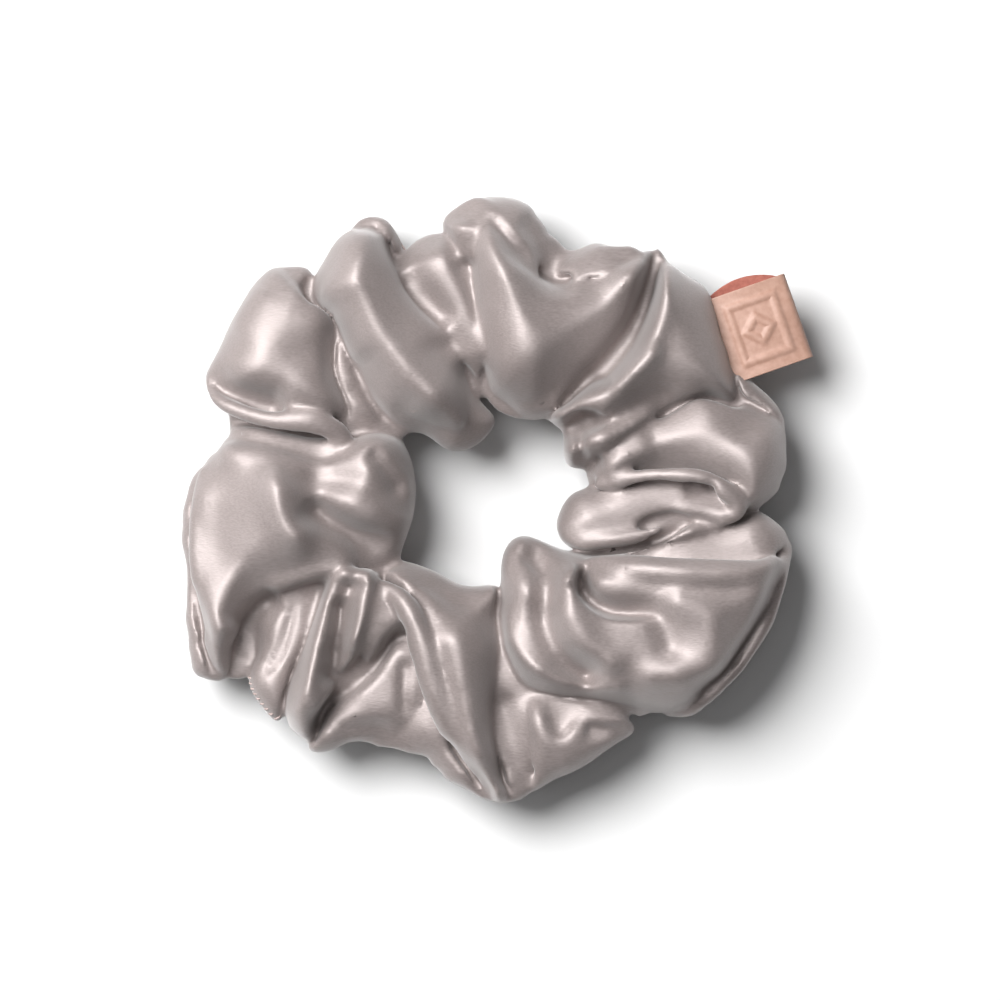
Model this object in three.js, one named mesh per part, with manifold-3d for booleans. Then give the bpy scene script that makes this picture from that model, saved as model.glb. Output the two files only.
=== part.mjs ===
// A gathered satin hair scrunchie with a folded loop label sewn into its long seam.
// Millimetres, +Z up. The ring lies flat on z = 0, its hole along Z.
// The label leaves the ring on the +X side. The origin is the middle of the footprint.
import * as THREE from "three";
import { mergeVertices } from "three/addons/utils/BufferGeometryUtils.js";
import Module from "manifold-3d";

const wasm = await Module();
wasm.setup();

const DEG = Math.PI / 180;

// Ring
const RING_RADIUS = 55; // out to the puffs
const HOLE_RADIUS = 15.5; // of the opening for the hair
const RING_HEIGHT = 30; // at the puffs
const WALL = 1; // the gathered satin, folds and all
const SECTION_ROUNDNESS = 2.3; // exponent of the section, 2 is an ellipse
const SECTION_SAG = 0.12; // share of the height that the rest pressure flattens
const HOLE_WAVE = 1; // how far the inner gathers ripple
const HOLE_WAVE_COUNT = 9;
const SPLIT_GAP = 0.4; // between the two half covers

// Pinches between the puffs: where, how deep, and how wide to either side.
const PINCHES = [
  { at: -111, depth: 9.8, spread: 9 },
  { at: -58, depth: 6.2, spread: 9 },
  { at: -2, depth: 6.5, spread: 7 },
  { at: 31, depth: 4.5, spread: 11 },
  { at: 73, depth: 10.5, spread: 9 },
  { at: 107, depth: 6.5, spread: 7 },
  { at: 165, depth: 9.8, spread: 8 },
];
const PINCH_DROP = 0.55; // height lost at a pinch per millimetre of its depth

// Elastic
const ELASTIC_WIDTH = 6;
const ELASTIC_THICKNESS = 0.9;
const ELASTIC_CLEARANCE = 0.4; // from the closing seam's thread
const ELASTIC_OVERLAP = 24; // degrees of overlap where the ends are sewn together
const JOIN_STITCHES = 3;
const JOIN_STITCH_PITCH = 6; // degrees

// Threads
const THREAD_RADIUS = 0.4;
const THREAD_SIDES = 6;
const FIT_GAP = 0.3; // left between pieces that touch in the real object
const LONG_SEAM_INSET = 1.4; // thread centre from the inside of the wall
const LONG_SEAM_CLEARANCE = 0.9; // from the label's stitch above it
const LONG_SEAM_STOP = 3; // degrees short of the split at each end
const CLOSING_SEAM_AT = -137;
const CLOSING_SEAM_CLEARANCE = 0.6; // from the long seam's thread
const CLOSING_SEAM_TURN = 352; // degrees, its two ends stay a little apart

// Label
const LABEL_WIDTH = 16;
const LABEL_LENGTH = 12.5; // from its hinge line to its fold
const LABEL_HALF_THICKNESS = 1.4;
const LABEL_FACE_THICKNESS = 0.5;
const LABEL_LINING_THICKNESS = 0.4;
const LABEL_AT = 33.7; // degrees round the ring
const LABEL_AIM = 21; // degrees, the way it points
const LABEL_REACH = 30; // degrees to either side, more than the label covers
const TAB_THICKNESS = 2;
const TAB_INNER_REACH = 9.5; // from the hinge line to the tab's inner end
const TAB_STITCH_AT = 8; // from the hinge line

// Facets
const RING_STEPS = 96;
const OUTER_SECTION_STEPS = 18;
const INNER_SECTION_STEPS = 14;
const THREAD_STEPS = 44;
const ELASTIC_STEPS = 56;
const FOLD_STEPS = 8;

// Places that follow from the sizes above
const SECTION_MIDDLE = RING_HEIGHT / 2;
const LONG_SEAM_DROP = TAB_THICKNESS / 2 + FIT_GAP + 3 * THREAD_RADIUS + LONG_SEAM_CLEARANCE;
const CLOSING_SEAM_INSET = LONG_SEAM_INSET + 2 * THREAD_RADIUS + CLOSING_SEAM_CLEARANCE;
const CLOSING_SEAM_RADIUS = HOLE_RADIUS + WALL + CLOSING_SEAM_INSET + THREAD_RADIUS;
const ELASTIC_RADIUS = CLOSING_SEAM_RADIUS + ELASTIC_CLEARANCE + ELASTIC_THICKNESS;
const LABEL_STANDOFF = LABEL_HALF_THICKNESS + FIT_GAP; // hinge line to cover and tab, for the swing

function satin() {
  return new THREE.MeshStandardMaterial({ color: 0xa2938f, roughness: 0.38, metalness: 0 });
}

function elasticRubber() {
  return new THREE.MeshStandardMaterial({ color: 0x4b403d, roughness: 0.85, metalness: 0 });
}

function thread() {
  return new THREE.MeshStandardMaterial({ color: 0x85746e, roughness: 0.6, metalness: 0 });
}

function labelFace() {
  return new THREE.MeshStandardMaterial({ color: 0xdab3a2, roughness: 0.5, metalness: 0 });
}

function labelLining() {
  return new THREE.MeshStandardMaterial({ color: 0xa8503f, roughness: 0.75, metalness: 0 });
}

function solidFrom(geometry) {
  const bare = geometry.clone();
  bare.deleteAttribute("normal");
  bare.deleteAttribute("uv");
  const merged = mergeVertices(bare, 1e-4);
  const mesh = new wasm.Mesh({
    numProp: 3,
    vertProperties: new Float32Array(merged.attributes.position.array),
    triVerts: new Uint32Array(merged.index.array),
  });
  return new wasm.Manifold(mesh);
}

function geometryFrom(solid) {
  const mesh = solid.getMesh();
  const geometry = new THREE.BufferGeometry();
  geometry.setAttribute("position", new THREE.BufferAttribute(new Float32Array(mesh.vertProperties), 3));
  geometry.setIndex(new THREE.BufferAttribute(new Uint32Array(mesh.triVerts), 1));
  geometry.computeVertexNormals();
  return geometry;
}

function named(name, geometry, material) {
  const mesh = new THREE.Mesh(geometry, material);
  mesh.name = name;
  return mesh;
}

function signedPower(value, exponent) {
  return Math.sign(value) * Math.abs(value) ** exponent;
}

// Signed difference between two angles in degrees, from -180 to 180.
function turnBetween(a, b) {
  return ((((a - b + 180) % 360) + 360) % 360) - 180;
}

// How far the puffs are pinched in at an angle round the ring.
function pinchDepth(angle) {
  let depth = 0;
  for (const pinch of PINCHES) {
    const away = turnBetween(angle, pinch.at) / pinch.spread;
    depth += pinch.depth * Math.exp(-away * away);
  }
  return depth;
}

function outerRadius(angle) {
  return RING_RADIUS - pinchDepth(angle);
}

function innerRadius(angle) {
  const ripple = (1 - Math.cos(HOLE_WAVE_COUNT * angle * DEG)) / 2;
  return HOLE_RADIUS - HOLE_WAVE * ripple;
}

// A point of the tube: angle round the ring, turn round the section, and depth under the outer surface.
function coverPoint(angle, turn, inset) {
  const outer = outerRadius(angle);
  const inner = innerRadius(angle);
  const height = RING_HEIGHT - PINCH_DROP * pinchDepth(angle);
  const halfWidth = (outer - inner) / 2 - inset;
  const fullHalfHeight = (height * (1 + SECTION_SAG)) / 2;
  const middle = height - fullHalfHeight;
  const power = 2 / SECTION_ROUNDNESS;
  const radius = (outer + inner) / 2 + halfWidth * signedPower(Math.cos(turn), power);
  const z = middle + (fullHalfHeight - inset) * signedPower(Math.sin(turn), power);
  return new THREE.Vector3(
    radius * Math.cos(angle * DEG),
    radius * Math.sin(angle * DEG),
    Math.max(z, inset),
  );
}

// The closed ring of the cover's outside, or of its inside when inset by the wall.
function coverRing(inset, sectionSteps) {
  const points = [];
  const faces = [];
  for (let i = 0; i < RING_STEPS; i += 1) {
    for (let j = 0; j < sectionSteps; j += 1) {
      const point = coverPoint((360 * i) / RING_STEPS, (2 * Math.PI * j) / sectionSteps, inset);
      points.push(point.x, point.y, point.z);
    }
  }
  for (let i = 0; i < RING_STEPS; i += 1) {
    const next = (i + 1) % RING_STEPS;
    for (let j = 0; j < sectionSteps; j += 1) {
      const up = (j + 1) % sectionSteps;
      const a = i * sectionSteps + j;
      const b = next * sectionSteps + j;
      const c = next * sectionSteps + up;
      const d = i * sectionSteps + up;
      faces.push(a, b, c, a, c, d);
    }
  }
  const geometry = new THREE.BufferGeometry();
  geometry.setAttribute("position", new THREE.Float32BufferAttribute(points, 3));
  geometry.setIndex(faces);
  return geometry;
}

// Where the label's hinge line lies: its middle, clear of the cover all along the label's width.
function labelHinge() {
  const aim = new THREE.Vector3(Math.cos(LABEL_AIM * DEG), Math.sin(LABEL_AIM * DEG), 0);
  const along = new THREE.Vector3(-aim.y, aim.x, 0);
  const seam = coverPoint(LABEL_AT, 0, 0);
  const offset = seam.dot(along);
  let reach = 0;
  for (let away = -LABEL_REACH; away <= LABEL_REACH; away += 0.5) {
    const point = coverPoint(LABEL_AT + away, 0, 0);
    if (Math.abs(point.dot(along) - offset) <= LABEL_WIDTH / 2 + FIT_GAP) {
      reach = Math.max(reach, point.dot(aim));
    }
  }
  return aim
    .clone()
    .multiplyScalar(reach + LABEL_STANDOFF)
    .addScaledVector(along, offset)
    .setZ(SECTION_MIDDLE);
}

// Label pieces are drawn with x outwards from the hinge line, y along it and z up.
function placedAtLabel(geometry) {
  const hinge = labelHinge();
  geometry.rotateZ(LABEL_AIM * DEG);
  geometry.translate(hinge.x, hinge.y, hinge.z);
  return geometry;
}

function box(x, y, z) {
  return new THREE.BoxGeometry(x, y, z);
}

function labelSlot() {
  const length = 2 * TAB_INNER_REACH;
  return placedAtLabel(box(length, LABEL_WIDTH + 2 * FIT_GAP, TAB_THICKNESS + 2 * FIT_GAP));
}

function coverHalves() {
  const outside = solidFrom(coverRing(0, OUTER_SECTION_STEPS));
  const inside = solidFrom(coverRing(WALL, INNER_SECTION_STEPS));
  const size = 4 * RING_RADIUS;
  const split = solidFrom(box(SPLIT_GAP, size, size));
  const cut = outside.subtract(inside).subtract(split).subtract(solidFrom(labelSlot()));
  const halves = cut.decompose();
  const side = (solid) => solid.boundingBox().min[0] + solid.boundingBox().max[0];
  halves.sort((a, b) => side(a) - side(b));
  return [
    named("cover_left", geometryFrom(halves[0]), satin()),
    named("cover_right", geometryFrom(halves[1]), satin()),
  ];
}

// A woven strip rolled into a ring with its ends overlapping on the -X side.
function elasticBand() {
  const turn = 360 + ELASTIC_OVERLAP;
  const start = 180 - ELASTIC_OVERLAP / 2;
  const growth = (ELASTIC_THICKNESS + FIT_GAP) / 360;
  const edge = (step, side) => {
    const swept = (turn * step) / ELASTIC_STEPS;
    const radius = ELASTIC_RADIUS + growth * (swept - turn / 2) + (side * ELASTIC_THICKNESS) / 2;
    const angle = (start + swept) * DEG;
    return new THREE.Vector2(radius * Math.cos(angle), radius * Math.sin(angle));
  };
  const outline = [];
  for (let step = 0; step <= ELASTIC_STEPS; step += 1) {
    outline.push(edge(step, 1));
  }
  for (let step = ELASTIC_STEPS; step >= 0; step -= 1) {
    outline.push(edge(step, -1));
  }
  const strip = new THREE.ExtrudeGeometry(new THREE.Shape(outline), {
    depth: ELASTIC_WIDTH,
    steps: 1,
    bevelEnabled: false,
  });
  strip.translate(0, 0, SECTION_MIDDLE - ELASTIC_WIDTH / 2);
  return named("elastic_band", strip, elasticRubber());
}

// A square frame of thread round a strip that runs along y, given the strip's half sizes in x and z.
function threadFrame(halfAcross, halfHigh) {
  const innerX = halfAcross + FIT_GAP;
  const innerY = halfHigh + FIT_GAP;
  const outerX = innerX + 2 * THREAD_RADIUS;
  const outerY = innerY + 2 * THREAD_RADIUS;
  const corners = (x, y) => [
    new THREE.Vector2(-x, -y),
    new THREE.Vector2(x, -y),
    new THREE.Vector2(x, y),
    new THREE.Vector2(-x, y),
  ];
  const shape = new THREE.Shape(corners(outerX, outerY));
  shape.holes.push(new THREE.Path(corners(innerX, innerY)));
  const frame = new THREE.ExtrudeGeometry(shape, {
    depth: 2 * THREAD_RADIUS,
    steps: 1,
    bevelEnabled: false,
  });
  frame.translate(0, 0, -THREAD_RADIUS);
  frame.rotateX(90 * DEG);
  return frame;
}

// Bar tacks that wrap both layers of the elastic where its ends overlap.
function elasticJoinStitches() {
  const stitches = [];
  const layers = ELASTIC_THICKNESS + FIT_GAP / 2;
  for (let i = 0; i < JOIN_STITCHES; i += 1) {
    const away = (i - (JOIN_STITCHES - 1) / 2) * JOIN_STITCH_PITCH;
    const tack = threadFrame(layers, ELASTIC_WIDTH / 2);
    tack.translate(-ELASTIC_RADIUS, 0, SECTION_MIDDLE);
    tack.rotateZ(away * DEG);
    stitches.push(named("elastic_join_stitch_" + (i + 1), tack, thread()));
  }
  return stitches;
}

function threadAlong(points) {
  const section = [];
  for (let i = 0; i < THREAD_SIDES; i += 1) {
    const angle = (2 * Math.PI * i) / THREAD_SIDES;
    section.push(new THREE.Vector2(THREAD_RADIUS * Math.cos(angle), THREAD_RADIUS * Math.sin(angle)));
  }
  return new THREE.ExtrudeGeometry(new THREE.Shape(section), {
    steps: THREAD_STEPS,
    extrudePath: new THREE.CatmullRomCurve3(points),
    bevelEnabled: false,
  });
}

// The thread of the long seam runs inside the cover's outer edge, just under the label.
function longSeam(name, from, to) {
  const points = [];
  for (let step = 0; step <= THREAD_STEPS; step += 1) {
    const angle = from + ((to - from) * step) / THREAD_STEPS;
    const point = coverPoint(angle, 0, WALL + LONG_SEAM_INSET);
    points.push(point.setZ(SECTION_MIDDLE - LONG_SEAM_DROP));
  }
  return named(name, threadAlong(points), thread());
}

// The thread that closes the tube where its two ends meet, round the section.
function closingSeam() {
  const points = [];
  for (let step = 0; step <= THREAD_STEPS; step += 1) {
    const turn = (CLOSING_SEAM_TURN * step * DEG) / THREAD_STEPS;
    points.push(coverPoint(CLOSING_SEAM_AT, turn, WALL + CLOSING_SEAM_INSET));
  }
  return named("closing_seam_thread", threadAlong(points), thread());
}

// One layer of the label's fold, between two depths under its outside.
function labelLayer(name, outerInset, innerInset, material) {
  const side = (inset, direction) => {
    const half = LABEL_HALF_THICKNESS - inset;
    const fold = LABEL_LENGTH - LABEL_HALF_THICKNESS;
    const points = [new THREE.Vector2(FIT_GAP, -half)];
    for (let step = 0; step <= FOLD_STEPS; step += 1) {
      const angle = (-90 + (180 * step) / FOLD_STEPS) * DEG;
      points.push(new THREE.Vector2(fold + half * Math.cos(angle), half * Math.sin(angle)));
    }
    points.push(new THREE.Vector2(FIT_GAP, half));
    return direction > 0 ? points : points.reverse();
  };
  const shape = new THREE.Shape([...side(outerInset, 1), ...side(innerInset, -1)]);
  const layer = new THREE.ExtrudeGeometry(shape, { depth: LABEL_WIDTH, steps: 1, bevelEnabled: false });
  layer.translate(0, 0, -LABEL_WIDTH / 2);
  layer.rotateX(90 * DEG);
  return named(name, placedAtLabel(layer), material);
}

// The label's two ends, sewn flat inside the seam.
function labelRootTab() {
  const length = TAB_INNER_REACH - LABEL_STANDOFF;
  const tab = box(length, LABEL_WIDTH, TAB_THICKNESS);
  tab.translate(-LABEL_STANDOFF - length / 2, 0, 0);
  return named("label_root_tab", placedAtLabel(tab), labelFace());
}

function labelStitch() {
  const stitch = threadFrame(LABEL_WIDTH / 2, TAB_THICKNESS / 2);
  stitch.rotateZ(90 * DEG);
  stitch.translate(-TAB_STITCH_AT, 0, 0);
  return named("label_stitch", placedAtLabel(stitch), thread());
}

const lining = LABEL_FACE_THICKNESS + FIT_GAP;
const pieces = [
  ...coverHalves(),
  elasticBand(),
  ...elasticJoinStitches(),
  longSeam("long_seam_left", 90 + LONG_SEAM_STOP, 270 - LONG_SEAM_STOP),
  longSeam("long_seam_right", LONG_SEAM_STOP - 90, 90 - LONG_SEAM_STOP),
  closingSeam(),
  labelRootTab(),
  labelStitch(),
  labelLayer("label_face", 0, LABEL_FACE_THICKNESS, labelFace()),
  labelLayer("label_lining", lining, lining + LABEL_LINING_THICKNESS, labelLining()),
];

const scrunchie = new THREE.Group();
scrunchie.name = "scrunchie";
scrunchie.add(...pieces);

// Put the origin at the middle of the footprint.
const extent = new THREE.Box3().setFromObject(scrunchie);
const middle = extent.getCenter(new THREE.Vector3());
for (const piece of pieces) {
  piece.geometry.translate(-middle.x, -middle.y, 0);
}

export default scrunchie;
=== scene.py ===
import math

import bpy
import numpy as np
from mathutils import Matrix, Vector
from mathutils.bvhtree import BVHTree
from mathutils.kdtree import KDTree


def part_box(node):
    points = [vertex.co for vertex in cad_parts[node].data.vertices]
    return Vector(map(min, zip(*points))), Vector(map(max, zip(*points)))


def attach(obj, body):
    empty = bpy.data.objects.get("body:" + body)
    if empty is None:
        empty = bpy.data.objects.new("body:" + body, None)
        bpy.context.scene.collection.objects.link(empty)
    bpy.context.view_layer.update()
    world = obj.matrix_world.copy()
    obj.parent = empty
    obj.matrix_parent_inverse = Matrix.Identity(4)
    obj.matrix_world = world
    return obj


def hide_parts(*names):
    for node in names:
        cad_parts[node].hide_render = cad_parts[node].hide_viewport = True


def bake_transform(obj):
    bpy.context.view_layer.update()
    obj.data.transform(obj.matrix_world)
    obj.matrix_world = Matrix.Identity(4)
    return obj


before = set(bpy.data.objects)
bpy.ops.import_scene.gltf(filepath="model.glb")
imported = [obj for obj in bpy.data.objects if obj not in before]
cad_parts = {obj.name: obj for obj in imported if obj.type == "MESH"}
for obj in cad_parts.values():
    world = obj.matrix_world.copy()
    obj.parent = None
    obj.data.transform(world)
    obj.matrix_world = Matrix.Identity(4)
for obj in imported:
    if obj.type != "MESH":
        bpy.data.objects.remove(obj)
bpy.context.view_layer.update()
MM = 0.001

LEFT_LOW, LEFT_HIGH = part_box("cover_left")
RIGHT_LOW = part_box("cover_right")[0]
CENTRE_X = (LEFT_HIGH[0] + RIGHT_LOW[0]) / 2
CENTRE_Y = (LEFT_LOW[1] + LEFT_HIGH[1]) / 2

# ---------------------------------------------------------------- camera, floor and light

VIEW_WIDTH = 0.1818
SENSOR_WIDTH = 36
CAMERA_DISTANCE = 1.6
CAMERA_FOCUS_HEIGHT = 0.013
# the ring's middle stands a little left of the picture's middle, and level with it
CAMERA_ASIDE = 0.0026
FLOOR_HALF = 1.0
# keeps the floor from touching the cover's flat underside
FLOOR_DROP = 0.0002
FLOOR_COLOUR = (0.55, 0.55, 0.55, 1)
BACKDROP_COLOUR = (0.86, 0.86, 0.86, 1)
HORIZON_COLOUR = (0.02, 0.018, 0.016, 1)
OVERHEAD_COLOUR = (0.2, 0.2, 0.205, 1)
LIGHT_TARGET = (0, 0, 0.01)


def add_camera():
    data = bpy.data.cameras.new("camera")
    camera = bpy.data.objects.new("camera", data)
    bpy.context.collection.objects.link(camera)
    data.sensor_width = SENSOR_WIDTH
    data.lens = SENSOR_WIDTH * CAMERA_DISTANCE / VIEW_WIDTH
    data.clip_end = 20
    camera.location = (CENTRE_X + CAMERA_ASIDE, CENTRE_Y, CAMERA_FOCUS_HEIGHT + CAMERA_DISTANCE)
    camera.rotation_euler = (0, 0, 0)
    bpy.context.scene.camera = camera


def add_floor():
    mesh = bpy.data.meshes.new("floor")
    half = FLOOR_HALF
    corners = [(-half, -half, 0), (half, -half, 0), (half, half, 0), (-half, half, 0)]
    mesh.from_pydata(corners, [], [(0, 1, 2, 3)])
    floor = bpy.data.objects.new("floor", mesh)
    bpy.context.collection.objects.link(floor)
    floor.location.z = -FLOOR_DROP
    material = bpy.data.materials.new("floor")
    material.use_nodes = True
    shader = material.node_tree.nodes["Principled BSDF"]
    shader.inputs["Base Color"].default_value = FLOOR_COLOUR
    shader.inputs["Roughness"].default_value = 0.8
    shader.inputs["Specular IOR Level"].default_value = 0.1
    mesh.materials.append(material)


def area_light(name, location, size, power):
    data = bpy.data.lights.new(name, "AREA")
    data.shape = "DISK"
    data.size = size
    data.energy = power
    light = bpy.data.objects.new(name, data)
    bpy.context.collection.objects.link(light)
    light.location = location
    direction = Vector(LIGHT_TARGET) - Vector(location)
    light.rotation_euler = direction.to_track_quat("-Z", "Y").to_euler()


def add_world():
    """Light from above that darkens towards the horizon. Only camera rays see the pale backdrop."""
    world = bpy.data.worlds.new("studio")
    bpy.context.scene.world = world
    world.use_nodes = True
    nodes = world.node_tree.nodes
    links = world.node_tree.links
    background = nodes["Background"]
    background.inputs["Strength"].default_value = 1.0
    coords = nodes.new("ShaderNodeTexCoord")
    split = nodes.new("ShaderNodeSeparateXYZ")
    ramp = nodes.new("ShaderNodeValToRGB")
    ramp.color_ramp.elements[0].position = 0.1
    ramp.color_ramp.elements[0].color = HORIZON_COLOUR
    ramp.color_ramp.elements[1].position = 0.95
    ramp.color_ramp.elements[1].color = OVERHEAD_COLOUR
    links.new(coords.outputs["Generated"], split.inputs["Vector"])
    links.new(split.outputs["Z"], ramp.inputs["Fac"])
    links.new(ramp.outputs["Color"], background.inputs["Color"])
    backdrop = nodes.new("ShaderNodeBackground")
    backdrop.inputs["Color"].default_value = BACKDROP_COLOUR
    path = nodes.new("ShaderNodeLightPath")
    mix = nodes.new("ShaderNodeMixShader")
    links.new(path.outputs["Is Camera Ray"], mix.inputs[0])
    links.new(background.outputs[0], mix.inputs[1])
    links.new(backdrop.outputs[0], mix.inputs[2])
    links.new(mix.outputs[0], nodes["World Output"].inputs["Surface"])


def add_lights():
    add_world()
    area_light("key", (-0.46, 0.38, 1.0), 0.7, 31)
    area_light("side", (-0.95, 0.3, 0.5), 0.9, 5)
    area_light("overhead", (0.05, -0.1, 1.3), 1.2, 2)
    bpy.context.scene.view_settings.view_transform = "Standard"


add_camera()
add_floor()
add_lights()

# ---------------------------------------------------------------- the gathered cover's shape

# Lengths in this part are millimetres from the ring's middle, unless they say otherwise.
MIDDLE_Z = 13.5
FINE_STEP = 0.55
CLOTH_STEP = 1.3
LOW = np.array([-62.0, -60.0, -2.0])
HIGH = np.array([62.0, 60.0, 33.0])
# stands for a distance too large to matter
FAR = 50.0
CURVE_STEPS = 6
ROLL_STEPS = 5

# the core that all puffs grow from: a flattened tube round the ring
CORE_RADIUS = 34
CORE_HALF_WIDTH = 14
CORE_HALF_HEIGHT = 4.5

# how squarely a puff is rounded: 2 gives an ellipse
PUFF_POWER = 2.05
OUTLINE_BLUR = 0.6
# how far a puff reaches below the middle, at least
HANG = 10.5
# the crease round a puff is cut down to this height above the middle
MOAT_FLOOR = 2.5

# how softly shapes run into each other
MOAT_BLEND = 0.8
PUFF_BLEND = 0.45
CORE_BLEND = 1.5
ROLL_BLEND = 1.2
CREASE_BLEND = 1.0
FLOOR_BLEND = 2.0

# how far round a roll or crease its distance is worked out
ROLL_REACH = 4
# share of a roll's length over which each end tapers
ROLL_TAPER = 0.2

RIDGE_BREADTH = 1.55
VALLEY_BREADTH = 1.05
RIDGE_HEIGHT = 0.85
# share of a fold's length over which it rises from nothing
FOLD_FADE = 0.22

GATHER_COUNTS = (17, 26, 39, 55)
GATHER_HEIGHT = 9
WALL_GATHERS = 0.35
HOLE_GATHERS = 0.22
GATHER_SEED = 7

REST_HEIGHT = 0.3
COVER_TRIANGLES = 98000
# in metres
SATIN_THICKNESS = 0.00015

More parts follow.
